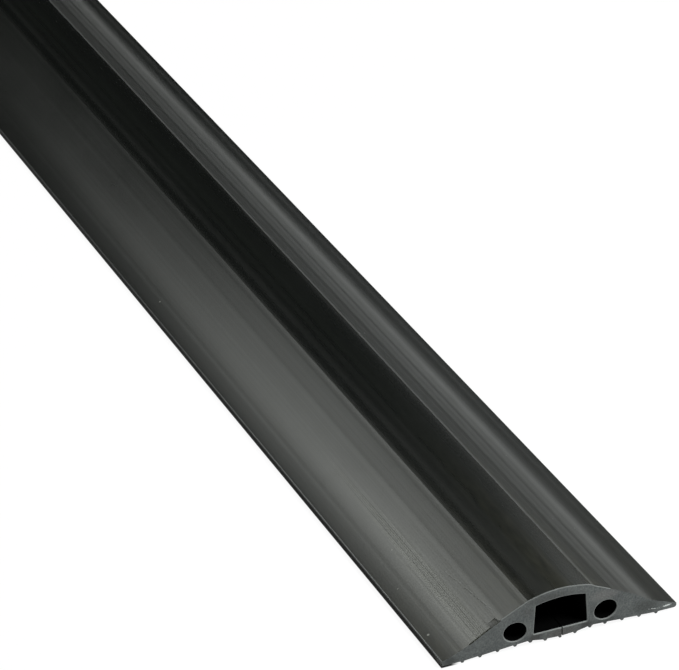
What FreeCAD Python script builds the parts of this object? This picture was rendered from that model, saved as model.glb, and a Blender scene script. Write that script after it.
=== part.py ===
"""One length of floor cable cover, extruded in soft PVC: cable duct, two link holes, grip ribs."""
import FreeCAD, Part
import math
import os

# Sizes in mm. X runs across the cover, Y along it, and Z up from the floor.
LENGTH = 1800.0
WIDTH = 68.0

# Duct for the cables: level floor, sides that lean in, arched roof
DUCT_FLOOR_WIDTH = 15.5
DUCT_TOP_WIDTH = 14.4
DUCT_SIDE_HEIGHT = 8.4
DUCT_ROOF_RISE = 0.9
DUCT_CORNER_RADIUS = 0.3
DUCT_FLOOR_WALL = 2.6

# Crown over the duct: a low dome between two sharp creases
CROWN_WALL = 2.85
CROWN_WIDTH = 18.6
CROWN_RISE = 1.5

# Flanks: a barely bulged slope from each crease down to a flatter lip with a rounded side face
FLANK_BULGE = 0.42
FOOT_RADIUS = 32.0
LIP_WIDTH = 5.55
LIP_RISE = 1.62
SIDE_FACE_HEIGHT = 1.4
SIDE_TOP_RADIUS = 0.7
SIDE_BOTTOM_RADIUS = 0.4

# Underside: level below the lips, hollow below the flanks, bellied below the duct
UNDERSIDE_HOLLOW = 1.0
BELLY_WIDTH = 19.0
BELLY_DROP = 0.9

# Grip ribs, which run the whole length. The outermost pair stands on the floor.
RIB_HEIGHT = 0.5
RIB_BASE_WIDTH = 0.9
RIB_LAND_WIDTH = 0.3
FLANK_RIBS = 4
FLANK_RIB_PITCH = 5.0
OUTER_RIB_SPACING = 56.0
BELLY_RIBS = 5
BELLY_RIB_PITCH = 4.3

# Slit in the duct's floor, through which the cables are pressed in
SLIT_WIDTH = 0.3
SLIT_OFFSET = 0.45

# Oval holes beside the duct for the pins that link two lengths
LINK_HOLE_WIDTH = 6.6
LINK_HOLE_HEIGHT = 5.5
LINK_HOLE_TILT = 10.0
LINK_HOLE_WEB = 2.0
LINK_HOLE_RAISE = 2.1

# Levels worked out from the sizes
LIP_LEVEL = RIB_HEIGHT
HOLLOW_LEVEL = LIP_LEVEL + UNDERSIDE_HOLLOW
BELLY_LEVEL = HOLLOW_LEVEL - BELLY_DROP
DUCT_FLOOR = BELLY_LEVEL + DUCT_FLOOR_WALL
DUCT_SIDE_TOP = DUCT_FLOOR + DUCT_SIDE_HEIGHT
DUCT_ROOF = DUCT_SIDE_TOP + DUCT_ROOF_RISE
CROWN_TOP = DUCT_ROOF + CROWN_WALL
CREASE_LEVEL = CROWN_TOP - CROWN_RISE
SIDE_TOP = LIP_LEVEL + SIDE_FACE_HEIGHT
FOOT_LEVEL = SIDE_TOP + LIP_RISE
LINK_HOLE_X = DUCT_FLOOR_WIDTH / 2.0 + LINK_HOLE_WEB + LINK_HOLE_WIDTH / 2.0
LINK_HOLE_LEVEL = DUCT_FLOOR + LINK_HOLE_RAISE


def at(x, z):
    """A point of the section, on the cover's near end."""
    return FreeCAD.Vector(x, -LENGTH / 2.0, z)


def mirrored(point):
    return (-point[0], point[1])


def chain(points):
    """Straight edges from each point of the section to the next."""
    return [Part.LineSegment(at(*a), at(*b)).toShape() for a, b in zip(points, points[1:])]


def arc(start, end, bulge):
    """An edge that bulges upwards by the given height over its straight line, or outwards on a slope."""
    run, rise = end[0] - start[0], end[1] - start[1]
    share = bulge / math.hypot(run, rise)
    side = 1.0 if run > 0 else -1.0
    middle_x = (start[0] + end[0]) / 2.0 - side * rise * share
    middle_z = (start[1] + end[1]) / 2.0 + side * run * share
    return Part.Arc(at(*start), at(middle_x, middle_z), at(*end)).toShape()


def dome(start, rise):
    """Two equal arcs from a point over the middle to its mirrored point, with the given rise."""
    radius = (start[0] ** 2 + rise ** 2) / (2.0 * rise)
    half_chord = math.hypot(start[0], rise) / 2.0
    bulge = radius - math.sqrt(radius ** 2 - half_chord ** 2)
    top = (0.0, start[1] + rise)
    return [arc(start, top, bulge), arc(top, mirrored(start), bulge)]


def extrude(edges):
    """A closed run of section edges, extruded over the whole length."""
    face = Part.Face(Part.Wire(edges))
    return face.extrude(FreeCAD.Vector(0, LENGTH, 0))


def long_edges(solid, points):
    """The solid's lengthwise edges that start at the given points of the section."""
    found = []
    for edge in solid.Edges:
        if abs(edge.Length - LENGTH) > 0.001:
            continue
        corner = edge.Vertexes[0].Point
        if any(math.hypot(corner.x - x, corner.z - z) < 0.001 for x, z in points):
            found.append(edge)
    return found


def underside_level(x):
    """Height of the underside at a place across the cover, without ribs."""
    outer, inner = OUTER_RIB_SPACING / 2.0, BELLY_WIDTH / 2.0
    if abs(x) >= inner:
        share = (outer - abs(x)) / (outer - inner)
        return LIP_LEVEL + share * UNDERSIDE_HOLLOW
    radius = (inner ** 2 + BELLY_DROP ** 2) / (2.0 * BELLY_DROP)
    return BELLY_LEVEL + radius - math.sqrt(radius ** 2 - x ** 2)


def rib_places():
    """Places across the cover: a row under each flank and one under the duct."""
    places = []
    for i in range(FLANK_RIBS):
        x = OUTER_RIB_SPACING / 2.0 - i * FLANK_RIB_PITCH
        places += [-x, x]
    for i in range(BELLY_RIBS):
        places.append((i - (BELLY_RIBS - 1) / 2.0) * BELLY_RIB_PITCH)
    return places


def underside():
    """The underside's corners, from left to right: each rib tapers down to a narrow level land."""
    corners = [(x, HOLLOW_LEVEL) for x in (-BELLY_WIDTH / 2.0, BELLY_WIDTH / 2.0)]
    base, land = RIB_BASE_WIDTH / 2.0, RIB_LAND_WIDTH / 2.0
    for x in rib_places():
        root = underside_level(x)
        tip = root - RIB_HEIGHT
        corners += [(x - base, root), (x - land, tip), (x + land, tip), (x + base, root)]
    return sorted(corners)


def cover_body():
    """The full section without its holes."""
    side_bottom = (WIDTH / 2.0, LIP_LEVEL)
    side_top = (WIDTH / 2.0, SIDE_TOP)
    foot = (WIDTH / 2.0 - LIP_WIDTH, FOOT_LEVEL)
    crease = (CROWN_WIDTH / 2.0, CREASE_LEVEL)
    body = extrude(
        chain([mirrored(side_bottom)] + underside() + [side_bottom, side_top, foot])
        + [arc(foot, crease, FLANK_BULGE)]
        + dome(crease, CROWN_RISE)
        + [arc(mirrored(crease), mirrored(foot), FLANK_BULGE)]
        + chain([mirrored(foot), mirrored(side_top), mirrored(side_bottom)])
    )
    roundings = [(foot, FOOT_RADIUS), (side_top, SIDE_TOP_RADIUS), (side_bottom, SIDE_BOTTOM_RADIUS)]
    for corner, radius in roundings:
        body = body.makeFillet(radius, long_edges(body, [corner, mirrored(corner)]))
    return body


def duct():
    """The space for the cables."""
    floor, top = (DUCT_FLOOR_WIDTH / 2.0, DUCT_FLOOR), (DUCT_TOP_WIDTH / 2.0, DUCT_SIDE_TOP)
    space = extrude(
        chain([mirrored(top), mirrored(floor), floor, top])
        + dome(top, DUCT_ROOF_RISE)
    )
    corners = [floor, top, mirrored(floor), mirrored(top)]
    return space.makeFillet(DUCT_CORNER_RADIUS, long_edges(space, corners))


def slit():
    """The cut from the underside up into the duct."""
    origin = at(SLIT_OFFSET - SLIT_WIDTH / 2.0, 0.0)
    return Part.makeBox(SLIT_WIDTH, LENGTH, DUCT_FLOOR + DUCT_CORNER_RADIUS, origin)


def link_hole(side):
    """One oval hole. Its long axis rises towards the duct."""
    middle = FreeCAD.Vector(0, 0, 0)
    oval = Part.Ellipse(middle, LINK_HOLE_WIDTH / 2.0, LINK_HOLE_HEIGHT / 2.0).toShape()
    oval.rotate(middle, FreeCAD.Vector(1, 0, 0), 90)
    oval.rotate(middle, FreeCAD.Vector(0, 1, 0), side * LINK_HOLE_TILT)
    oval.translate(at(side * LINK_HOLE_X, LINK_HOLE_LEVEL))
    return extrude([oval])


def cable_cover():
    return cover_body().cut([duct(), slit(), link_hole(-1), link_hole(1)])


os.makedirs("parts", exist_ok=True)
cover = cable_cover()
cover.exportStep("parts/cable_cover.step")
box = cover.BoundBox
print("solids", len(cover.Solids), "valid", cover.isValid())
print("box", round(box.XLength, 2), round(box.YLength, 2), round(box.ZLength, 2))
print("volume cm3", round(cover.Volume / 1000.0, 1), "section mm2", round(cover.Volume / LENGTH, 1))
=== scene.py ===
import math
import bpy
from mathutils import Matrix, Vector


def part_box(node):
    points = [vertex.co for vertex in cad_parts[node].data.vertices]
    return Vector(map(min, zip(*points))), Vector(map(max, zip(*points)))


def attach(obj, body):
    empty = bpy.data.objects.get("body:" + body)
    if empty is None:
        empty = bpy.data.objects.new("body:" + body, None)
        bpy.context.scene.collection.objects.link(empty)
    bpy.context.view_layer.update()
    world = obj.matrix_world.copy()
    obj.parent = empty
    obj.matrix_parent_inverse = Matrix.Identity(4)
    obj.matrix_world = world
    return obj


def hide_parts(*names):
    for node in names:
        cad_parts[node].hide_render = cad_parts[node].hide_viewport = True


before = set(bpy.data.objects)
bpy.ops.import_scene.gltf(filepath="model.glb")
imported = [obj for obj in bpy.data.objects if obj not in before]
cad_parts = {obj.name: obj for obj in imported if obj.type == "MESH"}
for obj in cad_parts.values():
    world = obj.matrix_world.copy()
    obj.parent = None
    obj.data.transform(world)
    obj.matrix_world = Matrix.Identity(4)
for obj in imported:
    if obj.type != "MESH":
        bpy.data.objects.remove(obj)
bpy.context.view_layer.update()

# The cover: one length of strip, extruded in soft black PVC through a die that shapes the flanks,
# the crown, the cable duct, the two link holes and the grip ribs in one go, and sawn off square.
# It is drawn as a tool maker draws the die: each half of the outline as a pen line, then extruded.
MM = 0.001
low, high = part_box("cable_cover")
near_y, far_y = low.y, high.y
half_width = high.x
crown_top = high.z

# The die has drifted, so the two sides differ a little. Each row is the side, the place of the crease
# beside the crown, the width and slope of the narrow ridge that steps down from it, and the radii of
# the lip's upper and lower corners.
sides = (
    (1, 8.7 * MM, 0.9 * MM, math.radians(30.7), 0.5 * MM, 0.8 * MM),
    (-1, 9.5 * MM, 0.6 * MM, math.radians(25.4), 0.3 * MM, 0.4 * MM),
)
crown_half_width = 9.3 * MM
crown_rise = 1.5 * MM
flank_bulge = 0.42 * MM
foot_radius = 40.0 * MM
lip_width = 5.55 * MM
lip_rise = 1.62 * MM
side_height = 1.4 * MM
lip_level = 0.5 * MM
hollow_level = lip_level + 1.0 * MM
belly_half_width = 9.5 * MM
belly_drop = 0.9 * MM
flank_rib_places = (13.0 * MM, 18.0 * MM, 23.0 * MM, 28.0 * MM)
belly_rib_places = (4.3 * MM, 8.6 * MM)
rib_height = 0.5 * MM
rib_base = 1.2 * MM
rib_land = 0.5 * MM
weld_reach = 0.001 * MM


def pen_down(name, x, z):
    """A new piece that is one point of the near end, ready to be drawn out as a line."""
    bpy.ops.object.select_all(action="DESELECT")
    bpy.ops.mesh.primitive_plane_add(size=MM, location=(x, near_y, z))
    bpy.ops.object.transform_apply(location=True, rotation=False, scale=False)
    piece = bpy.context.object
    piece.name = piece.data.name = name
    bpy.ops.object.mode_set(mode="EDIT")
    bpy.ops.mesh.merge(type="CENTER")
    return Vector((x, 0, z))


def line_to(pen, x, z):
    """Draws a straight line from the pen's place."""
    bpy.ops.mesh.extrude_vertices_move(TRANSFORM_OT_translate={"value": (x - pen.x, 0, z - pen.z)})
    return Vector((x, 0, z))


def arc_to(pen, x, z, radius, steps):
    """Draws an arc that turns left with a positive radius and right with a negative one."""
    end = Vector((x, 0, z))
    chord = end - pen
    size = abs(radius)
    turn = 2 * math.asin(chord.length / 2 / size)
    left = Vector((-chord.z, 0, chord.x)).normalized() * math.copysign(1, radius)
    middle = (pen + end) / 2 + left * math.sqrt(size ** 2 - chord.length ** 2 / 4)
    bpy.ops.mesh.spin(steps=steps, angle=math.copysign(turn, radius),
                      center=(middle.x, near_y, middle.z), axis=(0, 1, 0))
    return end


def arc_radius(chord, bulge):
    """Radius of the arc that stands off its chord by the bulge."""
    return (chord ** 2 / 4 + bulge ** 2) / (2 * bulge)


def underside_z(x):
    """Height of the bare underside: level at the lips, hollow by the duct, bellied in the middle."""
    if x >= belly_half_width:
        outermost = flank_rib_places[-1]
        share = (outermost - x) / (outermost - belly_half_width)
        return lip_level + min(1.0, max(0.0, share)) * (hollow_level - lip_level)
    radius = arc_radius(2 * belly_half_width, belly_drop)
    return hollow_level - belly_drop + radius - math.sqrt(radius ** 2 - x ** 2)


def draw_rib(pen, x):
    """Draws one grip rib down from the underside and back up."""
    root = underside_z(x)
    pen = line_to(pen, x - rib_base / 2, root)
    pen = line_to(pen, x - rib_land / 2, root - rib_height)
    pen = line_to(pen, x + rib_land / 2, root - rib_height)
    return line_to(pen, x + rib_base / 2, root)


def pick_points(piece, places, reach=0.02 * MM):
    """Selects the piece's points at the given places of the section."""
    bpy.ops.mesh.select_all(action="DESELECT")
    bpy.ops.mesh.select_mode(type="VERT")
    bpy.ops.object.mode_set(mode="OBJECT")
    for vertex in piece.data.vertices:
        vertex.select = any(math.hypot(vertex.co.x - x, vertex.co.z - z) < reach for x, z in places)
    bpy.ops.object.mode_set(mode="EDIT")


def round_corner(piece, x, z, turn, radius, segments):
    """Rounds one corner of the outline to a radius. turn is the angle by which the outline turns there."""
    pick_points(piece, [(x, z)])
    bpy.ops.mesh.bevel(offset=radius * math.tan(turn / 2), segments=segments, affect="VERTICES",
                       profile=0.5)


def foot_arc(lip_end, foot, crease):
    """Both ends of the arc that rounds the foot, where it touches the lip's line and the flank's arc."""
    lip_way = (foot - lip_end).normalized()
    lip_up = Vector((lip_way.z, 0, -lip_way.x))
    flank = crease - foot
    flank_radius = arc_radius(flank.length, flank_bulge)
    flank_down = Vector((-flank.z, 0, flank.x)).normalized()
    flank_centre = (foot + crease) / 2 + flank_down * (flank_radius - flank_bulge)
    above_foot = foot + lip_up * foot_radius - flank_centre
    along = above_foot.dot(lip_way)
    reach = math.sqrt(along ** 2 - above_foot.length_squared + (flank_radius + foot_radius) ** 2)
    centres = [flank_centre + above_foot + lip_way * (-along + way * reach) for way in (-1, 1)]
    centre = min(centres, key=lambda place: (place - foot).length)
    meeting = flank_centre + (centre - flank_centre) * flank_radius / (flank_radius + foot_radius)
    return centre - lip_up * foot_radius, meeting, flank_radius


# Each half is drawn from the middle of the middle rib, out along the underside and up to the crown.
side_top = lip_level + side_height
lip_end = Vector((half_width, 0, side_top))
foot = Vector((half_width - lip_width, 0, side_top + lip_rise))
crown_radius = arc_radius(2 * crown_half_width, crown_rise)
halves = []
for side, crease_x, ridge_width, ridge_slope, top_radius, bottom_radius in sides:
    pen = pen_down("cable_cover_strip", 0.0, underside_z(0.0) - rib_height)
    half = bpy.context.object
    pen = line_to(pen, rib_land / 2, underside_z(0.0) - rib_height)
    pen = line_to(pen, rib_base / 2, underside_z(0.0))
    for rib_x in belly_rib_places:
        pen = draw_rib(pen, rib_x)
    pen = line_to(pen, belly_half_width, hollow_level)
    for rib_x in flank_rib_places:
        pen = draw_rib(pen, rib_x)
    pen = line_to(pen, half_width, lip_level)
    pen = line_to(pen, half_width, side_top)
    crease_z = crown_top - crown_radius + math.sqrt(crown_radius ** 2 - crease_x ** 2)
    crease = Vector((crease_x, 0, crease_z))
    ridge_foot = crease + ridge_width * Vector((1, 0, -math.tan(ridge_slope)))
    foot_start, foot_end, flank_radius = foot_arc(lip_end, foot, ridge_foot)
    pen = line_to(pen, foot_start.x, foot_start.z)
    pen = arc_to(pen, foot_end.x, foot_end.z, -foot_radius, 36)
    pen = arc_to(pen, ridge_foot.x, ridge_foot.z, flank_radius, 60)
    pen = line_to(pen, crease.x, crease.z)
    pen = arc_to(pen, 0.0, crown_top, crown_radius, 36)
    lip_turn = math.atan2(lip_rise, lip_width)
    round_corner(half, half_width, side_top, math.pi / 2 - lip_turn, top_radius, 16)
    round_corner(half, half_width, lip_level, math.pi / 2, bottom_radius, 20)
    if side < 0:
        bpy.ops.mesh.select_all(action="SELECT")
        bpy.ops.transform.resize(value=(-1, 1, 1), center_override=(0, 0, 0))
    bpy.ops.object.mode_set(mode="OBJECT")
    halves.append(half)
bpy.ops.object.select_all(action="DESELECT")
for half in halves:
    half.select_set(True)
strip = halves[0]
bpy.context.view_layer.objects.active = strip
bpy.ops.object.join()


def nearest_top_point(piece, x):
    """The outline's point on the upper side that lies nearest to a distance from the middle."""
    upper = [vertex.co for vertex in piece.data.vertices if vertex.co.z > side_top]
    return min(upper, key=lambda place: abs(place.x - x))


def press_outline(piece, x, lift, reach):
    """Lifts or sinks the outline's upper side at one place, and softly around it if it has a reach."""
    place = nearest_top_point(piece, x)
    bpy.ops.object.mode_set(mode="EDIT")
    pick_points(piece, [(place.x, place.z)])
    bpy.ops.transform.translate(value=(0, 0, lift), use_proportional_edit=reach > 0,
                                proportional_edit_falloff="SMOOTH", proportional_size=max(reach, MM))
    bpy.ops.object.mode_set(mode="OBJECT")


def finish_modifier(piece, kind, **settings):
    """Adds a modifier with its settings and applies it."""
    modifier = piece.modifiers.new(kind.title(), kind)
    for name, value in settings.items():
        setattr(modifier, name, value)
    bpy.context.view_layer.objects.active = piece
    bpy.ops.object.modifier_apply(modifier=modifier.name)


def extrude_outline(piece, places):
    """Fills the drawn outline and pulls it out into a solid with a ring of edges at each place."""
    bpy.ops.object.mode_set(mode="EDIT")
    bpy.ops.mesh.select_all(action="SELECT")
    bpy.ops.mesh.remove_doubles(threshold=weld_reach)
    bpy.ops.mesh.edge_face_add()
    bpy.ops.transform.translate(value=(0, places[0] - near_y, 0))
    for from_y, to_y in zip(places, places[1:]):
        bpy.ops.mesh.extrude_region_move(TRANSFORM_OT_translate={"value": (0, to_y - from_y, 0)})
    bpy.ops.mesh.select_all(action="SELECT")
    bpy.ops.mesh.normals_make_consistent(inside=False)
    bpy.ops.object.mode_set(mode="OBJECT")


# As the strip cooled, the skin sank a little between its thick and its hollow parts, which leaves
# shallow waves along it. Each row is place, lift and reach. The lines are fine scores of the die, each
# with its place and lift.
shrink_waves = (
    (-28.8 * MM, 0.016 * MM, 0.9 * MM),
    (-21.3 * MM, 0.010 * MM, 1.2 * MM),
    (-16.3 * MM, 0.024 * MM, 1.5 * MM),
    (-12.7 * MM, 0.012 * MM, 1.0 * MM),
    (-11.6 * MM, 0.028 * MM, 1.4 * MM),
    (-9.4 * MM, 0.036 * MM, 1.4 * MM),
    (4.3 * MM, -0.045 * MM, 3.2 * MM),
    (8.6 * MM, 0.050 * MM, 3.4 * MM),
    (14.7 * MM, 0.036 * MM, 1.8 * MM),
    (18.4 * MM, -0.022 * MM, 1.4 * MM),
    (20.2 * MM, 0.024 * MM, 1.8 * MM),
    (26.3 * MM, -0.120 * MM, 5.0 * MM),
    (30.3 * MM, 0.055 * MM, 2.4 * MM),
)
die_lines = (
    (-28.2 * MM, -0.004 * MM),
    (13.2 * MM, -0.004 * MM),
    (19.0 * MM, -0.005 * MM),
)
for mark_x, lift, reach in shrink_waves:
    press_outline(strip, mark_x, lift, reach)
for mark_x, lift in die_lines:
    press_outline(strip, mark_x, lift, 0)

# A ring of edges behind the near end keeps the shading of the flake there off the rest of the strip.
end_ring = 12 * MM
extrude_outline(strip, (near_y, near_y + end_ring, far_y))

# What the die's mandrels keep open: the cable duct, the two oval link holes beside it, and the slit
# in the duct's floor through which cables are pressed in. They are cut right through the strip, and
# their walls are dull and painted darker than the skin: painted shade for the dark inside of them.
run_out = 5.0 * MM
duct_floor = 3.2 * MM
duct_floor_half = 7.75 * MM
duct_top_half = 7.2 * MM
duct_side_height = 8.4 * MM
duct_roof_rise = 0.9 * MM
duct_corner_radius = 0.3 * MM
link_hole_x = 13.05 * MM
link_hole_z = 5.3 * MM
link_hole_width = 6.6 * MM
link_hole_height = 5.5 * MM
link_hole_tilt = math.radians(10)
slit_x = 0.45 * MM
slit_width = 0.3 * MM

duct_side_top = duct_floor + duct_side_height
side_lean = math.atan2(duct_floor_half - duct_top_half, duct_side_height)
roof_slope = 2 * math.atan2(duct_roof_rise, duct_top_half)
pen = pen_down("duct_mandrel", 0.0, duct_floor)
duct_mandrel = bpy.context.object
pen = line_to(pen, duct_floor_half, duct_floor)
pen = line_to(pen, duct_top_half, duct_side_top)
pen = arc_to(pen, 0.0, duct_side_top + duct_roof_rise, arc_radius(2 * duct_top_half, duct_roof_rise), 16)
round_corner(duct_mandrel, duct_floor_half, duct_floor, math.pi / 2 + side_lean, duct_corner_radius, 20)
round_corner(duct_mandrel, duct_top_half, duct_side_top, math.pi / 2 - side_lean - roof_slope,
             duct_corner_radius, 14)
bpy.ops.object.mode_set(mode="OBJECT")
finish_modifier(duct_mandrel, "MIRROR", use_axis=(True, False, False), use_mirror_merge=True,
                merge_threshold=weld_reach)
extrude_outline(duct_mandrel, (near_y - run_out, far_y + run_out))

cutters = [duct_mandrel]
through = far_y - near_y + 2 * run_out
for side in (-1, 1):
    bpy.ops.object.select_all(action="DESELECT")
    bpy.ops.mesh.primitive_cylinder_add(vertices=96, radius=link_hole_width / 2, depth=through,
                                        location=(side * link_hole_x, 0, link_hole_z),
                                        rotation=(math.pi / 2, 0, 0))
    hole = bpy.context.object
    hole.name = "link_hole_mandrel"
    bpy.ops.object.transform_apply(location=True, rotation=True, scale=True)
    bpy.ops.object.mode_set(mode="EDIT")
    centre = (side * link_hole_x, 0, link_hole_z)
    bpy.ops.transform.resize(value=(1, 1, link_hole_height / link_hole_width), center_override=centre)
    bpy.ops.transform.rotate(value=side * link_hole_tilt, orient_axis="Y", center_override=centre)
    bpy.ops.object.mode_set(mode="OBJECT")
    cutters.append(hole)

bpy.ops.object.select_all(action="DESELECT")
bpy.ops.mesh.primitive_cube_add(size=1, location=(slit_x, 0, duct_floor / 2),
                                scale=(slit_width, through, duct_floor + duct_corner_radius))
bpy.ops.object.transform_apply(location=True, rotation=True, scale=True)
slit_blade = bpy.context.object
slit_blade.name = "slit_blade"
cutters.append(slit_blade)


def linear(hex_colour):
    """An sRGB hex colour as Blender's linear colour."""
    channels = [int(hex_colour[i:i + 2], 16) / 255 for i in (1, 3, 5)]
    return [c / 12.92 if c <= 0.04045 else ((c + 0.055) / 1.055) ** 2.4 for c in channels] + [1.0]


def add_node(tree, kind, inputs=None, **settings):
    """Adds a node with its settings. An input is given by its name or number, as a value or a link."""
    node = tree.nodes.new(kind)
    for name, value in settings.items():
        setattr(node, name, value)
    for socket, value in (inputs or {}).items():
        if isinstance(value, bpy.types.NodeSocket):
            tree.links.new(value, node.inputs[socket])
        else:
            node.inputs[socket].default_value = value
    return node


pvc_ior = 1.54


def start_material(name, base_colour, roughness):
    """A new material with its node tree and its Principled shader, which all soft PVC here starts from."""
    material = bpy.data.materials.new(name)
    material.use_nodes = True
    shader = material.node_tree.nodes["Principled BSDF"]
    shader.inputs["Base Color"].default_value = linear(base_colour)
    shader.inputs["Roughness"].default_value = roughness
    shader.inputs["IOR"].default_value = pvc_ior
    return material, material.node_tree, shader


# Soft PVC drawn over the mandrels: dull, with long faint draw lines, and painted near black, darker
# than the skin: painted shade for the inside of the duct and holes.
mandrel_wall_painted_shade, tree, shader = start_material("mandrel_drawn_soft_pvc_painted_shade", "#030303", 0.8)
shader.inputs["Specular IOR Level"].default_value = 0.05
draw_line_width = 0.8 * MM
draw_line_length = 400 * MM
draw_line_height = 0.01 * MM
place = add_node(tree, "ShaderNodeTexCoord").outputs["Object"]
stretched = add_node(tree, "ShaderNodeVectorMath", {
    0: place, 1: (1 / draw_line_width, 1 / draw_line_length, 1 / draw_line_width)}, operation="MULTIPLY")
draw_lines = add_node(tree, "ShaderNodeTexNoise", {
    "Vector": stretched.outputs[0], "Scale": 1.0, "Detail": 2.0})
draw_bump = add_node(tree, "ShaderNodeBump", {
    "Height": draw_lines.outputs["Fac"], "Distance": draw_line_height})
tree.links.new(draw_bump.outputs["Normal"], shader.inputs["Normal"])

for cutter in cutters:
    cutter.data.materials.clear()
    cutter.data.materials.append(mandrel_wall_painted_shade)

# The skin is soft PVC as the die leaves it: smooth and half glossy, with the melt's drag lines along
# its length. The eye sees long light and dark lines that wander by a few tenths of a millimetre. Each
# row is the width, length and height of the fine, the middling and the broad lines.
skin, tree, shader = start_material("extruded_soft_pvc", "#121312", 0.30)
drag_lines = (
    (0.55 * MM, 350 * MM, 0.011 * MM),
    (1.6 * MM, 600 * MM, 0.022 * MM),
    (5.0 * MM, 900 * MM, 0.030 * MM),
)
set_shift = 9.1
drift_reach = 0.35 * MM
drift_width = 30 * MM
drift_length = 110 * MM
place = add_node(tree, "ShaderNodeTexCoord").outputs["Object"]
axes = add_node(tree, "ShaderNodeSeparateXYZ", {0: place})
drift_place = add_node(tree, "ShaderNodeVectorMath", {
    0: place, 1: (1 / drift_width, 1 / drift_length, 0)}, operation="MULTIPLY")
drift = add_node(tree, "ShaderNodeTexNoise", {
    "Vector": drift_place.outputs[0], "Scale": 1.0, "Detail": 1.0})
drifted_x = add_node(tree, "ShaderNodeMath", {
    0: drift.outputs["Fac"], 1: 2 * drift_reach, 2: axes.outputs["X"]}, operation="MULTIPLY_ADD")
drawn_place = add_node(tree, "ShaderNodeCombineXYZ", {
    "X": drifted_x.outputs[0], "Y": axes.outputs["Y"]})
relief = 0.0
line_sets = []
for number, (width, length, height) in enumerate(drag_lines):
    stretched = add_node(tree, "ShaderNodeVectorMath", {
        0: drawn_place.outputs[0], 1: (1 / width, 1 / length, 0), 2: (set_shift * number, 0, 0)},
        operation="MULTIPLY_ADD")
    lines = add_node(tree, "ShaderNodeTexNoise", {
        "Vector": stretched.outputs[0], "Scale": 1.0, "Detail": 2.0})
    line_sets.append(lines)
    relief = add_node(tree, "ShaderNodeMath", {
        0: lines.outputs["Fac"], 1: height, 2: relief}, operation="MULTIPLY_ADD").outputs[0]
fine_lines, _, broad_lines = line_sets

# The die's worn scores show most on the left flank near the sawn end: broad ones, and a comb of hair
# lines in their middle. Their crests are painted pale, a painted highlight of the light the scores catch
# there. Each row is the place of a crest, the pitch, half the band's width, the height, and how much of
# the painted highlight the crests take.
scores = (
    (-23.9 * MM, 1.27 * MM, 3.2 * MM, 0.014 * MM, 0.32),
    (-23.1 * MM, 0.43 * MM, 2.1 * MM, 0.014 * MM, 0.45),
)
score_length = 105 * MM
score_middle = -23.1 * MM
crest_highlight_colour = "#4e4f45"
painted_crest_highlight = 0.0
for crest_x, pitch, half_band, height, crest_highlight_share in scores:
    turn = add_node(tree, "ShaderNodeMapRange", {
        "Value": drifted_x.outputs[0], "From Min": crest_x, "From Max": crest_x + pitch,
        "To Max": 2 * math.pi}, clamp=False)
    wave = add_node(tree, "ShaderNodeMath", {0: turn.outputs[0]}, operation="COSINE")
    worn = add_node(tree, "ShaderNodeMath", {
        0: wave.outputs[0], 1: fine_lines.outputs["Fac"]}, operation="MULTIPLY")
    band = add_node(tree, "ShaderNodeMapping", {
        "Vector": place, "Location": (score_middle, near_y, 0), "Scale": (half_band, score_length, 1)},
        vector_type="TEXTURE")
    off_band = add_node(tree, "ShaderNodeVectorMath", {0: band.outputs[0]}, operation="LENGTH")
    fade = add_node(tree, "ShaderNodeMapRange", {
        "Value": off_band.outputs["Value"], "From Min": 1.0, "From Max": 0.6, "To Max": height})
    relief = add_node(tree, "ShaderNodeMath", {
        0: worn.outputs[0], 1: fade.outputs[0], 2: relief}, operation="MULTIPLY_ADD").outputs[0]
    crest = add_node(tree, "ShaderNodeMath", {
        0: wave.outputs[0], 1: crest_highlight_share / 2, 2: crest_highlight_share / 2}, operation="MULTIPLY_ADD")
    on_band = add_node(tree, "ShaderNodeMath", {0: fade.outputs[0], 1: 1 / height}, operation="MULTIPLY")
    painted_crest_highlight = add_node(tree, "ShaderNodeMath", {
        0: crest.outputs[0], 1: on_band.outputs[0], 2: painted_crest_highlight}, operation="MULTIPLY_ADD").outputs[0]

# One long faint scratch, broken by skips, runs down the left flank towards the sawn edge.
scratch_start = Vector((-19.7 * MM, near_y + 31 * MM, 0))
scratch_end = Vector((-16.9 * MM, near_y + 3.0 * MM, 0))
scratch_way = scratch_end - scratch_start
scratch_width = 0.5 * MM
scratch_depth = 0.03 * MM
skip_size = 1.6 * MM
scratch_place = add_node(tree, "ShaderNodeMapping", {
    "Vector": place, "Location": (scratch_start + scratch_end) / 2,
    "Rotation": (0, 0, math.atan2(-scratch_way.x, scratch_way.y)),
    "Scale": (scratch_width / 2, scratch_way.length / 2, 1)}, vector_type="TEXTURE")
scratch_distance = add_node(tree, "ShaderNodeVectorMath", {0: scratch_place.outputs[0]}, operation="LENGTH")
scratch_line = add_node(tree, "ShaderNodeMapRange", {
    "Value": scratch_distance.outputs["Value"], "From Min": 1.0, "From Max": 0.3})
skips = add_node(tree, "ShaderNodeTexNoise", {"Vector": place, "Scale": 1 / skip_size, "Detail": 3.0})
held = add_node(tree, "ShaderNodeMapRange", {
    "Value": skips.outputs["Fac"], "From Min": 0.45, "From Max": 0.62})
scratch = add_node(tree, "ShaderNodeMath", {
    0: scratch_line.outputs[0], 1: held.outputs[0]}, operation="MULTIPLY")
relief = add_node(tree, "ShaderNodeMath", {
    0: scratch.outputs[0], 1: -scratch_depth, 2: relief}, operation="MULTIPLY_ADD").outputs[0]
skin_bump = add_node(tree, "ShaderNodeBump", {"Height": relief, "Distance": 1.0})
tree.links.new(skin_bump.outputs["Normal"], shader.inputs["Normal"])

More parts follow.
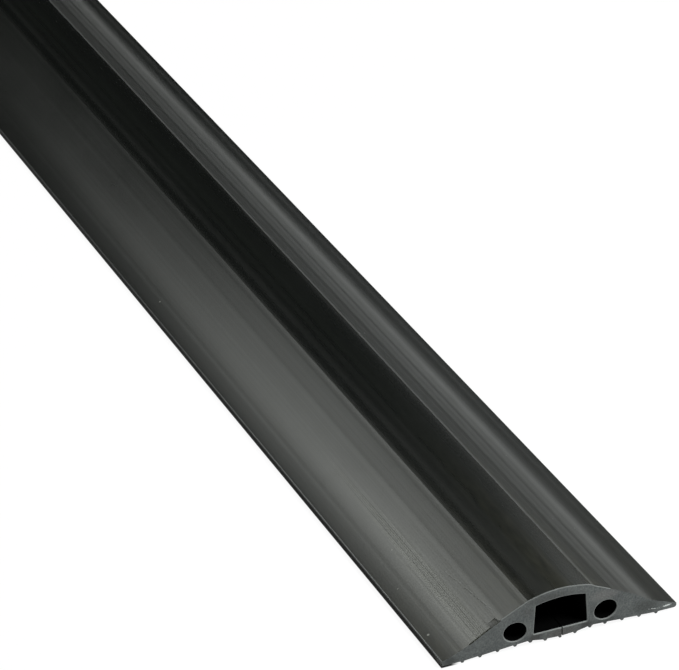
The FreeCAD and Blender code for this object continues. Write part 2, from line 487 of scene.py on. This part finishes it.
# Handling leaves soft clouds a few centimetres long, and small smudges in them, that are a little
# duller or shinier.
cloud_width = 14 * MM
cloud_length = 60 * MM
smudge_width = 1.3 * MM
smudge_length = 7 * MM
smudge_dulling = 0.04
cloud_place = add_node(tree, "ShaderNodeVectorMath", {
    0: place, 1: (1 / cloud_width, 1 / cloud_length, 1 / cloud_width)}, operation="MULTIPLY")
clouds = add_node(tree, "ShaderNodeTexNoise", {
    "Vector": cloud_place.outputs[0], "Scale": 1.0, "Detail": 3.0})
cloudy = add_node(tree, "ShaderNodeMapRange", {
    "Value": clouds.outputs["Fac"], "From Min": 0.3, "From Max": 0.7, "To Min": 0.26, "To Max": 0.30})
smudge_place = add_node(tree, "ShaderNodeVectorMath", {
    0: place, 1: (1 / smudge_width, 1 / smudge_length, 1 / smudge_width)}, operation="MULTIPLY")
smudges = add_node(tree, "ShaderNodeTexNoise", {
    "Vector": smudge_place.outputs[0], "Scale": 1.0, "Detail": 3.0})
roughness = add_node(tree, "ShaderNodeMath", {
    0: smudges.outputs["Fac"], 1: smudge_dulling, 2: cloudy.outputs[0]},
    operation="MULTIPLY_ADD").outputs[0]

# Along the crown the die has polished some bands and dragged others dull. Each row is the place, half
# the width and the change in roughness. The tint is PVC black, a little uneven along the broad lines.
gloss_bands = (
    (-7.7 * MM, 1.6 * MM, -0.09),
    (-5.7 * MM, 1.2 * MM, 0.06),
    (-3.9 * MM, 0.9 * MM, -0.02),
    (-2.6 * MM, 0.9 * MM, 0.03),
    (-1.2 * MM, 0.8 * MM, -0.03),
    (0.8 * MM, 1.2 * MM, 0.03),
    (6.2 * MM, 4.2 * MM, -0.04),
)
for band_x, half_band, change in gloss_bands:
    from_band = add_node(tree, "ShaderNodeMath", {
        0: axes.outputs["X"], 1: band_x}, operation="SUBTRACT")
    off_band = add_node(tree, "ShaderNodeMath", {0: from_band.outputs[0]}, operation="ABSOLUTE")
    on_band = add_node(tree, "ShaderNodeMapRange", {
        "Value": off_band.outputs[0], "From Min": half_band, "From Max": 0.0},
        interpolation_type="SMOOTHSTEP")
    roughness = add_node(tree, "ShaderNodeMath", {
        0: on_band.outputs[0], 1: change, 2: roughness}, operation="MULTIPLY_ADD").outputs[0]
tree.links.new(roughness, shader.inputs["Roughness"])
tint = add_node(tree, "ShaderNodeMix", {
    0: broad_lines.outputs["Fac"], 6: linear("#0f1110"), 7: linear("#151815")}, data_type="RGBA")

# Near the sawn end the skin is tinted paler and warmer, fading over 110 millimetres from the end, and
# less of it on the crown and the right flank: each row is the middle, half width and share kept there.
end_tint_colour = "#2c2c25"
end_tint_length = 110 * MM
end_tint_falloff = 1.6
thin_tint_bands = (
    (-5.2 * MM, 2.2 * MM, 0.4),
    (5.7 * MM, 1.4 * MM, 0.1),
    (23.0 * MM, 10.0 * MM, 0.4),
)
thin_band_edge = 2.0 * MM
end_tint_place = add_node(tree, "ShaderNodeMapRange", {
    "Value": axes.outputs["Y"], "From Min": near_y + end_tint_length, "From Max": near_y})
end_tint_fade = add_node(tree, "ShaderNodeMath", {
    0: end_tint_place.outputs[0], 1: end_tint_falloff}, operation="POWER")
end_tint_cover = add_node(tree, "ShaderNodeMapRange", {
    "Value": smudges.outputs["Fac"], "From Min": 0.3, "From Max": 0.7, "To Min": 0.3, "To Max": 1.3})
end_tint = add_node(tree, "ShaderNodeMath", {
    0: end_tint_fade.outputs[0], 1: end_tint_cover.outputs[0]}, operation="MULTIPLY")
for thin_band_x, thin_band_half, share_left in thin_tint_bands:
    from_thin_band = add_node(tree, "ShaderNodeMath", {
        0: axes.outputs["X"], 1: thin_band_x}, operation="SUBTRACT")
    off_thin_band = add_node(tree, "ShaderNodeMath", {0: from_thin_band.outputs[0]}, operation="ABSOLUTE")
    kept = add_node(tree, "ShaderNodeMapRange", {
        "Value": off_thin_band.outputs[0], "From Min": thin_band_half, "From Max": thin_band_half + thin_band_edge,
        "To Min": share_left})
    end_tint = add_node(tree, "ShaderNodeMath", {
        0: end_tint.outputs[0], 1: kept.outputs[0]}, operation="MULTIPLY")
end_tinted = add_node(tree, "ShaderNodeMix", {
    0: end_tint.outputs[0], 6: tint.outputs[2], 7: linear(end_tint_colour)}, data_type="RGBA")
# The pale crest colour mixed in here is painted highlight.
crest_highlighted = add_node(tree, "ShaderNodeMix", {
    0: painted_crest_highlight, 6: end_tinted.outputs[2], 7: linear(crest_highlight_colour)}, data_type="RGBA")

# The lips' upper corners are painted pale, most near the sawn end: a painted highlight along them.
corner_highlight_colour = "#747676"
corner_highlight_reach = 0.35 * MM
corner_highlight_from_z = 1.68 * MM
corner_highlight_edge = 0.1 * MM
corner_highlight_length = 250 * MM
out_from_middle = add_node(tree, "ShaderNodeMath", {0: axes.outputs["X"]}, operation="ABSOLUTE")
corner_highlight_side = add_node(tree, "ShaderNodeMapRange", {
    "Value": out_from_middle.outputs[0], "From Min": half_width - corner_highlight_reach,
    "From Max": half_width - corner_highlight_reach / 2})
corner_highlight_high = add_node(tree, "ShaderNodeMapRange", {
    "Value": axes.outputs["Z"], "From Min": corner_highlight_from_z - corner_highlight_edge, "From Max": corner_highlight_from_z + corner_highlight_edge})
corner_highlight_fade = add_node(tree, "ShaderNodeMapRange", {
    "Value": axes.outputs["Y"], "From Min": near_y, "From Max": near_y + corner_highlight_length, "To Min": 1.0,
    "To Max": 0.25})
corner_highlight_mask = add_node(tree, "ShaderNodeMath", {
    0: corner_highlight_side.outputs[0], 1: corner_highlight_high.outputs[0]}, operation="MULTIPLY")
painted_corner_highlight = add_node(tree, "ShaderNodeMath", {
    0: corner_highlight_mask.outputs[0], 1: corner_highlight_fade.outputs[0]}, operation="MULTIPLY")
corner_highlighted = add_node(tree, "ShaderNodeMix", {
    0: painted_corner_highlight.outputs[0], 6: crest_highlighted.outputs[2], 7: linear(corner_highlight_colour)}, data_type="RGBA")

# Grains of pale dust lie on it: those that catch the eye near the sawn end, and sparse ones farther
# off. Each of the first has its place from the middle, its way from the sawn end and its radius.
dust_grains = (
    (-30.6 * MM, 35 * MM, 0.22 * MM),
    (-32.15 * MM, 12.3 * MM, 0.42 * MM),
    (-25.6 * MM, 50 * MM, 0.22 * MM),
    (22.5 * MM, 37 * MM, 0.18 * MM),
    (22.6 * MM, 80 * MM, 0.2 * MM),
    (17.4 * MM, 40 * MM, 0.15 * MM),
    (-30.1 * MM, 214 * MM, 0.3 * MM),
    (9.5 * MM, 152 * MM, 0.35 * MM),
    (11.5 * MM, 153 * MM, 0.3 * MM),
)
dust_colour = "#a9aaa4"
dust_cover = 0.7
flat_place = add_node(tree, "ShaderNodeVectorMath", {0: place, 1: (1, 1, 0)}, operation="MULTIPLY")
sparse_spacing = 45 * MM
sparse_from = 430 * MM
sparse_grain = 0.22 * MM
cells = add_node(tree, "ShaderNodeTexVoronoi", {
    "Vector": flat_place.outputs[0], "Scale": 1 / sparse_spacing}, voronoi_dimensions="2D")
grains = add_node(tree, "ShaderNodeMath", {
    0: cells.outputs["Distance"], 1: sparse_grain / sparse_spacing}, operation="LESS_THAN")
farther = add_node(tree, "ShaderNodeMath", {
    0: axes.outputs["Y"], 1: near_y + sparse_from}, operation="GREATER_THAN")
dust = add_node(tree, "ShaderNodeMath", {
    0: grains.outputs[0], 1: farther.outputs[0]}, operation="MULTIPLY").outputs[0]
for grain_x, grain_y, radius in dust_grains:
    distance = add_node(tree, "ShaderNodeVectorMath", {
        0: flat_place.outputs[0], 1: (grain_x, near_y + grain_y, 0)}, operation="DISTANCE")
    grain = add_node(tree, "ShaderNodeMapRange", {
        "Value": distance.outputs["Value"], "From Min": radius, "From Max": radius / 2})
    dust = add_node(tree, "ShaderNodeMath", {0: dust, 1: grain.outputs[0]}, operation="MAXIMUM").outputs[0]
dusty = add_node(tree, "ShaderNodeMath", {0: dust, 1: dust_cover}, operation="MULTIPLY")
dusted = add_node(tree, "ShaderNodeMix", {
    0: dusty.outputs[0], 6: corner_highlighted.outputs[2], 7: linear(dust_colour)}, data_type="RGBA")
tree.links.new(dusted.outputs[2], shader.inputs["Base Color"])

# The sawn face is the same PVC torn by the blade: matt and greyer, with grit and a faint mottle. It is
# darker where it thins to the lips, under the duct's corners and the right hole and in the duct's roof,
# a little brown in the slab under the duct, and paler left of the duct and above the right hole.
sawn, tree, shader = start_material("sawn_soft_pvc", "#5a5d5e", 0.6)
place = add_node(tree, "ShaderNodeTexCoord").outputs["Object"]
mottle_size = 6 * MM
speckle_size = 1.0 * MM
grit_size = 0.3 * MM
grit_height = 0.02 * MM
mottle = add_node(tree, "ShaderNodeTexNoise", {"Vector": place, "Scale": 1 / mottle_size, "Detail": 2.0})
speckle = add_node(tree, "ShaderNodeTexNoise", {"Vector": place, "Scale": 1 / speckle_size, "Detail": 3.0})
grit = add_node(tree, "ShaderNodeTexNoise", {"Vector": place, "Scale": 1 / grit_size, "Detail": 2.0})
mottling = add_node(tree, "ShaderNodeMath", {
    0: mottle.outputs["Fac"], 1: speckle.outputs["Fac"]}, operation="ADD")
mixing = add_node(tree, "ShaderNodeMapRange", {
    "Value": mottling.outputs[0], "From Min": 0.7, "From Max": 1.3})
body_tint = add_node(tree, "ShaderNodeMix", {
    0: mixing.outputs[0], 6: linear("#505354"), 7: linear("#696c6b")}, data_type="RGBA")
face_tint = body_tint.outputs[2]

# Each patch has its place from the middle and above the floor, its half width and half height in
# millimetres, its strength and its colour.
face_patches = (
    (-31.8, 1.5, 2.6, 1.5, 0.9, "#3f4141"),
    (24.8, 3.2, 5.0, 2.4, 0.8, "#464847"),
    (0.5, 1.6, 6.0, 1.8, 0.8, "#555351"),
    (-7.3, 2.2, 2.4, 1.7, 0.9, "#403f3e"),
    (7.3, 2.2, 2.4, 1.7, 0.9, "#3b3a3a"),
    (13.0, 1.9, 4.5, 1.5, 0.8, "#3f4141"),
    (12.5, 9.9, 5.0, 1.9, 0.8, "#71706f"),
    (9.3, 6.0, 1.4, 3.0, 0.7, "#505252"),
    (-4.0, 13.2, 7.0, 1.6, 0.8, "#494a49"),
    (-9.3, 10.5, 2.0, 1.6, 0.6, "#545453"),
    (-9.3, 5.5, 2.0, 3.0, 0.6, "#6c6e6d"),
)
for patch_x, patch_z, half_patch, half_tall, strength, patch_colour in face_patches:
    patch_place = add_node(tree, "ShaderNodeMapping", {
        "Vector": place, "Location": (patch_x * MM, near_y, patch_z * MM),
        "Scale": (half_patch * MM, 1, half_tall * MM)}, vector_type="TEXTURE")
    patch_distance = add_node(tree, "ShaderNodeVectorMath", {
        0: patch_place.outputs[0]}, operation="LENGTH")
    patch = add_node(tree, "ShaderNodeMapRange", {
        "Value": patch_distance.outputs["Value"], "From Min": 1.1, "From Max": 0.4, "To Max": strength})
    face_tint = add_node(tree, "ShaderNodeMix", {
        0: patch.outputs[0], 6: face_tint, 7: linear(patch_colour)}, data_type="RGBA").outputs[2]

# Sawing leaves a fine light and dark grain over all of it.
grain_size = 0.5 * MM
grain_contrast = 0.28
grain_noise = add_node(tree, "ShaderNodeTexNoise", {
    "Vector": place, "Scale": 1 / grain_size, "Detail": 2.0})
grain = add_node(tree, "ShaderNodeMapRange", {
    "Value": grain_noise.outputs["Fac"], "From Min": 0.3, "From Max": 0.7,
    "To Min": 1 - grain_contrast, "To Max": 1 + grain_contrast})
face_tint = add_node(tree, "ShaderNodeVectorMath", {
    0: face_tint, "Scale": grain.outputs[0]}, operation="SCALE").outputs[0]

# Near the tip of the right lip the face is near white: a bright line, and flecks that lead up to it. Each
# row is its place, half length and half height in millimetres, its tilt in degrees, and how much of it
# the grit leaves white.
white_marks = (
    (31.1, 1.72, 1.4, 0.21, -3.7, -0.4),
    (27.2, 1.75, 3.4, 0.24, 8.6, -0.98),
)
white_mark_depth = 2 * MM
white_mark_raggedness = 2.6
white_mark_colour = "#dfe2e1"
for white_x, white_z, half_white, half_tall, tilt, left_white in white_marks:
    white_place = add_node(tree, "ShaderNodeMapping", {
        "Vector": place, "Location": (white_x * MM, near_y, white_z * MM),
        "Rotation": (0, math.radians(tilt), 0),
        "Scale": (half_white * MM, white_mark_depth, half_tall * MM)}, vector_type="TEXTURE")
    white_distance = add_node(tree, "ShaderNodeVectorMath", {0: white_place.outputs[0]}, operation="LENGTH")
    white_edge = add_node(tree, "ShaderNodeMath", {
        0: grit.outputs["Fac"], 1: white_mark_raggedness, 2: left_white}, operation="MULTIPLY_ADD")
    white_mark = add_node(tree, "ShaderNodeMath", {
        0: white_distance.outputs["Value"], 1: white_edge.outputs[0]}, operation="LESS_THAN")
    face_tint = add_node(tree, "ShaderNodeMix", {
        0: white_mark.outputs[0], 6: face_tint, 7: linear(white_mark_colour)}, data_type="RGBA").outputs[2]
tree.links.new(face_tint, shader.inputs["Base Color"])
grit_bump = add_node(tree, "ShaderNodeBump", {"Height": grit.outputs["Fac"], "Distance": grit_height})
tree.links.new(grit_bump.outputs["Normal"], shader.inputs["Normal"])

# Round the duct and the link holes, and along the crown, the broken edge is a narrow rim painted paler
# and a little smoother than the face: painted highlight along these edges.
rim_highlight, tree, shader = start_material("rim_painted_highlight_soft_pvc", "#7a7e7e", 0.5)
rim_highlight_mottle_size = 2 * MM
place = add_node(tree, "ShaderNodeTexCoord").outputs["Object"]
rim_highlight_noise = add_node(tree, "ShaderNodeTexNoise", {"Vector": place, "Scale": 1 / rim_highlight_mottle_size, "Detail": 2.0})
rim_highlight_tint = add_node(tree, "ShaderNodeMix", {
    0: rim_highlight_noise.outputs["Fac"], 6: linear("#6a6c6b"), 7: linear("#949695")}, data_type="RGBA")
tree.links.new(rim_highlight_tint.outputs[2], shader.inputs["Base Color"])

strip.data.materials.clear()
for finish in (skin, sawn, rim_highlight):
    strip.data.materials.append(finish)
SKIN, SAWN, RIM_HIGHLIGHT, DRAWN = range(4)

for cutter in cutters:
    finish_modifier(strip, "BOOLEAN", object=cutter, operation="DIFFERENCE", solver="EXACT",
                    material_mode="TRANSFER")
    bpy.data.objects.remove(cutter)
for face in strip.data.polygons:
    if abs(face.normal.y) > 0.9:
        face.material_index = SAWN


def outlines_of_cut(piece, finish, wanted):
    """The edges where both sawn ends meet lengthwise walls of one finish, if wanted(normal, x) holds."""
    meeting = {}
    for face in piece.data.polygons:
        for key in face.edge_keys:
            meeting.setdefault(key, []).append(face)
    found = set()
    for key, faces in meeting.items():
        walls = [face for face in faces if face.material_index == finish and abs(face.normal.y) < 0.05]
        middle = sum(piece.data.vertices[index].co.x for index in key) / 2
        if len(walls) == 1 and len(faces) == 2 and any(face.material_index == SAWN for face in faces):
            if wanted(walls[0].normal, middle):
                found.add(key)
    return found


def break_edges(piece, keys, width, segments, finish):
    """Breaks the given edges with a rounded bevel in a finish."""
    bpy.ops.object.mode_set(mode="EDIT")
    bpy.ops.mesh.select_mode(type="EDGE")
    bpy.ops.mesh.select_all(action="DESELECT")
    bpy.ops.object.mode_set(mode="OBJECT")
    for edge in piece.data.edges:
        edge.select = edge.key in keys
    bpy.ops.object.mode_set(mode="EDIT")
    bpy.ops.mesh.bevel(offset=width, segments=segments, affect="EDGES", profile=0.5, material=finish)
    bpy.ops.object.mode_set(mode="OBJECT")


# The blade breaks the upper edge of both ends by a quarter of a millimetre on the left flank, breaks it
# over the crown in a rim painted pale, leaves it sharp on the lips and the right flank, and rounds the
# lower edge a little. Round the holes it leaves a rim painted pale. The pale rims are painted highlight.
left_break = 0.25 * MM
crown_break = 0.2 * MM
lower_break = 0.18 * MM
hole_rim_break = 0.3 * MM
left_break_from = -26.0 * MM
crown_rim_from = -17.4 * MM
crown_rim_to = 14.5 * MM
bpy.ops.object.select_all(action="DESELECT")
strip.select_set(True)
bpy.context.view_layer.objects.active = strip
break_edges(strip, outlines_of_cut(
    strip, SKIN, lambda normal, x: normal.z > -0.1 and left_break_from < x < crown_rim_from),
    left_break, 4, SKIN)
break_edges(strip, outlines_of_cut(
    strip, SKIN, lambda normal, x: normal.z > -0.1 and crown_rim_from < x < crown_rim_to),
    crown_break, 2, RIM_HIGHLIGHT)
break_edges(strip, outlines_of_cut(
    strip, SKIN, lambda normal, x: normal.z < 0.3), lower_break, 2, SKIN)
break_edges(strip, outlines_of_cut(
    strip, DRAWN, lambda normal, x: abs(x - slit_x) > 0.6 * slit_width), hole_rim_break, 3, RIM_HIGHLIGHT)

# The blade has torn a shallow flake out of the left flank's edge, where the scratch ends. It keeps the
# colour of the skin.
chip_x = -18.7 * MM
chip_half_size = (1.35 * MM, 2.0 * MM, 1.0 * MM)
chip_depth = 0.12 * MM
chip_slope = math.radians(1.5)
flank_lean = math.radians(-26)
chip_turn = math.radians(10)
chip_top = nearest_top_point(strip, chip_x)
chip_lift = chip_half_size[2] - chip_depth
chip_middle_x = chip_x + chip_lift * math.sin(flank_lean)
chip_middle_z = chip_top.z + chip_lift * math.cos(flank_lean)
bpy.ops.object.select_all(action="DESELECT")
bpy.ops.mesh.primitive_cube_add(size=2, location=(chip_middle_x, near_y, chip_middle_z),
                                rotation=(chip_slope, flank_lean, chip_turn), scale=chip_half_size)
bpy.ops.object.transform_apply(location=True, rotation=True, scale=True)
chip = bpy.context.object
chip.data.materials.append(skin)
finish_modifier(strip, "BOOLEAN", object=chip, operation="DIFFERENCE", solver="EXACT",
                material_mode="TRANSFER")
bpy.data.objects.remove(chip)
bpy.ops.object.select_all(action="DESELECT")
strip.select_set(True)
bpy.context.view_layer.objects.active = strip
bpy.ops.object.shade_smooth_by_angle(angle=math.radians(7))

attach(strip, "root")
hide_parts("cable_cover")

# The floor: a wide level sheet of white paper that the strip lies loose on. The camera sees it as the
# photo's white ground, with a share of the lit paper in it that keeps a faint shadow where the strip
# touches down.
floor_size = 40
ground_near = 0.93
ground_far = 1.0
ground_near_reach = 0.2
ground_far_reach = 1.2
ground_middle = (0, near_y + 0.15, 0)
mirrored_ground = 0.04
under_strip_painted_shadow = 0.01
side_blur = 0.05 * MM
end_blur = 0.1 * MM
end_light_full = 4 * MM
end_light_reach = 7 * MM
left_lip_to = -31 * MM
left_flank_from = -29 * MM
shade_reach = 8 * MM
shade_depth = 0.15
lit_share = 0.14
bpy.ops.object.select_all(action="DESELECT")
bpy.ops.mesh.primitive_plane_add(size=floor_size, location=(0, 0, 0))
floor = bpy.context.object
floor.name = "studio_floor"
paper = bpy.data.materials.new("white_paper")
paper.use_nodes = True
tree = paper.node_tree
tree.nodes.clear()
paper_colour = linear("#e7e7e7")
rays = add_node(tree, "ShaderNodeLightPath")
seen = add_node(tree, "ShaderNodeMath", {
    0: rays.outputs["Is Camera Ray"], 1: rays.outputs["Is Transmission Ray"]}, operation="MAXIMUM")
place = add_node(tree, "ShaderNodeTexCoord").outputs["Object"]
from_end = add_node(tree, "ShaderNodeVectorMath", {0: place, 1: ground_middle}, operation="DISTANCE")
ground = add_node(tree, "ShaderNodeMapRange", {
    "Value": from_end.outputs["Value"], "From Min": ground_near_reach, "From Max": ground_far_reach,
    "To Min": ground_near, "To Max": ground_far})

# The ground's glow is white beside and beyond the strip, and a painted shadow makes it dark under it. At
# each end the painted shadow stops a few millimetres in under the strip, where light gets in below the
# flanks, but not under the left lip.
floor_axes = add_node(tree, "ShaderNodeSeparateXYZ", {0: place})
aside = add_node(tree, "ShaderNodeMath", {0: floor_axes.outputs["X"]}, operation="ABSOLUTE")
beside = add_node(tree, "ShaderNodeMapRange", {
    "Value": aside.outputs[0], "From Min": half_width - side_blur, "From Max": half_width + side_blur,
    "To Min": under_strip_painted_shadow})
along = add_node(tree, "ShaderNodeMath", {0: floor_axes.outputs["Y"]}, operation="ABSOLUTE")
before = add_node(tree, "ShaderNodeMapRange", {
    "Value": along.outputs[0], "From Min": far_y - end_light_reach, "From Max": far_y - end_light_full})
inside_lips = add_node(tree, "ShaderNodeMapRange", {
    "Value": floor_axes.outputs["X"], "From Min": left_lip_to, "From Max": left_flank_from})
under_flanks = add_node(tree, "ShaderNodeMath", {
    0: before.outputs[0], 1: inside_lips.outputs[0]}, operation="MINIMUM")
beyond = add_node(tree, "ShaderNodeMapRange", {
    "Value": along.outputs[0], "From Min": far_y - end_blur, "From Max": far_y})
lighted = add_node(tree, "ShaderNodeMath", {
    0: beside.outputs[0], 1: beyond.outputs[0]}, operation="MAXIMUM")
open_ground = add_node(tree, "ShaderNodeMath", {
    0: lighted.outputs[0], 1: under_flanks.outputs[0]}, operation="MAXIMUM")
bare_ground = add_node(tree, "ShaderNodeMath", {
    0: open_ground.outputs[0], 1: ground.outputs[0]}, operation="MULTIPLY")
seen_ground = add_node(tree, "ShaderNodeMath", {
    0: seen.outputs[0], 1: bare_ground.outputs[0]}, operation="MULTIPLY")
ground_strength = add_node(tree, "ShaderNodeMath", {
    0: rays.outputs["Is Glossy Ray"], 1: mirrored_ground, 2: seen_ground.outputs[0]},
    operation="MULTIPLY_ADD")
glow = add_node(tree, "ShaderNodeEmission", {
    "Color": (1, 1, 1, 1), "Strength": ground_strength.outputs[0]})

# The paper's colour is darkened close beside the long sides: painted shade for the shade of the lips,
# so it throws little light back there.
painted_paper_shade = add_node(tree, "ShaderNodeMapRange", {
    "Value": aside.outputs[0], "From Min": half_width, "From Max": half_width + shade_reach,
    "To Min": shade_depth})
open_paper = add_node(tree, "ShaderNodeMath", {
    0: painted_paper_shade.outputs[0], 1: before.outputs[0]}, operation="MAXIMUM")
paper_with_painted_shade = add_node(tree, "ShaderNodeMix", {
    0: open_paper.outputs[0], 6: (0, 0, 0, 1), 7: paper_colour}, data_type="RGBA")
lit_colour = add_node(tree, "ShaderNodeMix", {
    0: seen.outputs[0], 6: paper_with_painted_shade.outputs[2], 7: [lit_share * c for c in paper_colour]},
    data_type="RGBA")
lit_paper = add_node(tree, "ShaderNodeBsdfDiffuse", {"Color": lit_colour.outputs[2]})
floor_look = add_node(tree, "ShaderNodeAddShader", {0: glow.outputs[0], 1: lit_paper.outputs[0]})
add_node(tree, "ShaderNodeOutputMaterial", {0: floor_look.outputs[0]})
floor.data.materials.append(paper)

# Camera: a long lens close to the near end, as in the photo.
bpy.ops.object.camera_add()
camera = bpy.context.object
bpy.context.scene.camera = camera
camera.data.lens = 189.5
camera.data.clip_start = 0.01
camera_place = (-0.35278, near_y - 0.69717, 0.51004 + lip_level)
camera_yaw = math.radians(22.739)
camera_pitch = math.radians(28.317)
camera_roll = math.radians(-1.088)
camera.matrix_world = (
    Matrix.Translation(camera_place)
    @ Matrix.Rotation(-camera_yaw, 4, "Z")
    @ Matrix.Rotation(math.pi / 2 - camera_pitch, 4, "X")
    @ Matrix.Rotation(camera_roll, 4, "Z")
)

# Studio light: soft round lamps over the near end, a key from the front right and weaker ones behind,
# and flagged ones that light only the far half. Each row is the place along the strip that the lamp
# is aimed at, its bearing from the strip's run, its height, its spread, its diameter, its radiance
# and its colour.
near_aim = near_y + 0.15
middle_aim = 0.45
far_aim = far_y - 0.1
open_spread = 180
flagged = 42
aim_height = 0.01
lamp_distance = 0.8
warm_white = (0.966, 1.0, 0.95)
cool_white = (0.96, 1.0, 0.98)
lamps = (
    ("key", near_aim, 140, 45, open_spread, 0.3, 23.2, cool_white),
    ("left_soft_box", near_aim, -40, 42, open_spread, 0.3, 4.23, warm_white),
    ("left_fill", near_aim, -18, 42, open_spread, 0.3, 1.55, warm_white),
    ("left_low", near_aim, -28, 30, open_spread, 0.3, 1.40, warm_white),
    ("right_back", near_aim, 52.5, 30, open_spread, 0.3, 1.11, warm_white),
    ("right_low", near_aim, 40, 10, open_spread, 0.3, 0.09, cool_white),
    ("top_back", near_aim, 22, 58, open_spread, 0.3, 0.90, warm_white),
    ("far_left", middle_aim, -90, 45, flagged, 0.5, 0.9, warm_white),
    ("far_right", middle_aim, 90, 45, flagged, 0.5, 0.9, cool_white),
    ("far_end_key", far_aim, 25, 55, flagged, 0.4, 3.0, cool_white),
)
for name, aim_y, bearing, height, spread, diameter, radiance, colour in lamps:
    turn, rise = math.radians(bearing), math.radians(height)
    way = Vector((math.sin(turn) * math.cos(rise), math.cos(turn) * math.cos(rise), math.sin(rise)))
    aim = Vector((0, aim_y, aim_height))
    bpy.ops.object.light_add(type="AREA", location=aim + way * lamp_distance,
                             rotation=way.to_track_quat("Z", "Y").to_euler())
    lamp = bpy.context.object
    lamp.name = lamp.data.name = name
    lamp.data.shape = "DISK"
    lamp.data.size = diameter
    lamp.data.spread = math.radians(spread)
    lamp.data.color = colour
    lamp.data.energy = radiance * math.pi ** 2 * (diameter / 2) ** 2
    lamp.visible_camera = False

# The room is dark beyond the lamps, and white where the camera looks past the floor.
world = bpy.data.worlds.new("studio")
bpy.context.scene.world = world
world.use_nodes = True
tree = world.node_tree
room_light = 0.01
rays = add_node(tree, "ShaderNodeLightPath")
seen = add_node(tree, "ShaderNodeMath", {
    0: rays.outputs["Is Camera Ray"], 1: rays.outputs["Is Transmission Ray"]}, operation="MAXIMUM")
strength = add_node(tree, "ShaderNodeMath", {0: seen.outputs[0], 1: room_light}, operation="MAXIMUM")
tree.nodes["Background"].inputs["Color"].default_value = (1, 1, 1, 1)
tree.links.new(strength.outputs[0], tree.nodes["Background"].inputs["Strength"])
bpy.context.scene.view_settings.view_transform = "Standard"
